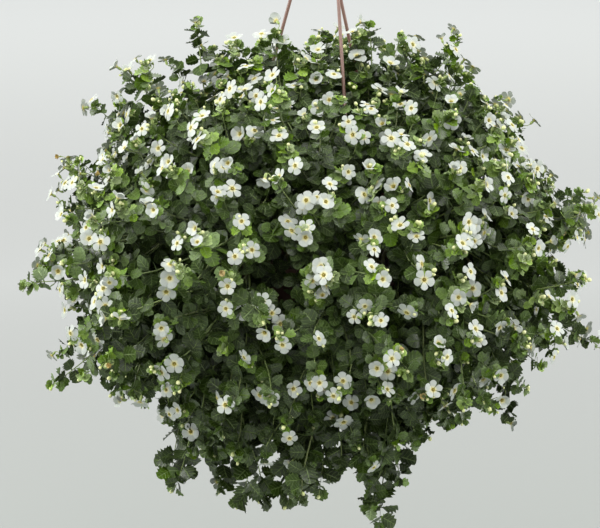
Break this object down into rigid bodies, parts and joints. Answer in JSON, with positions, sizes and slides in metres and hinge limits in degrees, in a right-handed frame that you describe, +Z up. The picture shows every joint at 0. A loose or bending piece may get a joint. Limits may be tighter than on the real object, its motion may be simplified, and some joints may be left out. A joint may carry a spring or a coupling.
{
  "type": "hanging potted bacopa",
  "caption": "Trailing bacopa in full flower in a round hanging pot, held by strands and a hook, grown into a wide ball that hides the pot.",
  "frame": {"origin": "the top of the inside of the hook, where it bears on what holds it; the plant's middle hangs on the line below it", "axes": "+Z up, along the line of hanging and out of the top of the hook; +X to the right and +Y away from the viewer, as seen from the front, where the front strand comes down nearest the viewer"},
  "size_m": [0.5568, 0.5756, 0.6856],
  "materials": {
    "pot_plastic": "satin",
    "soil": "matte",
    "hanger_plastic": "satin",
    "leaves": "satin",
    "stems": "satin",
    "petals": "matte",
    "flower_centres": "matte",
    "buds": "satin"
  },
  "bodies": {
    "root": {"pot": "pot_plastic", "potting_soil": "soil", "hanger_hook": "hanger_plastic", "hanger_strand_front": "hanger_plastic", "hanger_strand_right": "hanger_plastic", "hanger_strand_left": "hanger_plastic", "spray_crown_1": "leaves", "spray_crown_2": "leaves", "spray_crown_3": "leaves", "spray_shoulder_1": "leaves", "spray_shoulder_2": "leaves", "spray_shoulder_3": "leaves", "spray_shoulder_4": "leaves", "spray_shoulder_5": "leaves", "spray_shoulder_6": "leaves", "spray_shoulder_7": "leaves", "spray_shoulder_8": "leaves", "spray_shoulder_9": "leaves", "spray_upper_1": "leaves", "spray_upper_2": "leaves", "spray_upper_3": "leaves", "spray_upper_4": "leaves", "spray_upper_5": "leaves", "spray_upper_6": "leaves", "spray_upper_7": "leaves", "spray_upper_8": "leaves", "spray_upper_9": "leaves", "spray_upper_10": "leaves", "spray_upper_11": "leaves", "spray_upper_12": "leaves", "spray_side_1": "leaves", "spray_side_2": "leaves", "spray_side_3": "leaves", "spray_side_4": "leaves", "spray_side_5": "leaves", "spray_side_6": "leaves", "spray_side_7": "leaves", "spray_side_8": "leaves", "spray_side_9": "leaves", "spray_side_10": "leaves", "spray_side_11": "leaves", "spray_side_12": "leaves", "spray_trailing_1": "leaves", "spray_trailing_2": "leaves", "spray_trailing_3": "leaves", "spray_trailing_4": "leaves", "spray_trailing_5": "leaves", "spray_trailing_6": "leaves", "spray_trailing_7": "leaves", "spray_trailing_8": "leaves", "spray_trailing_9": "leaves"}
  },
  "joints": []
}
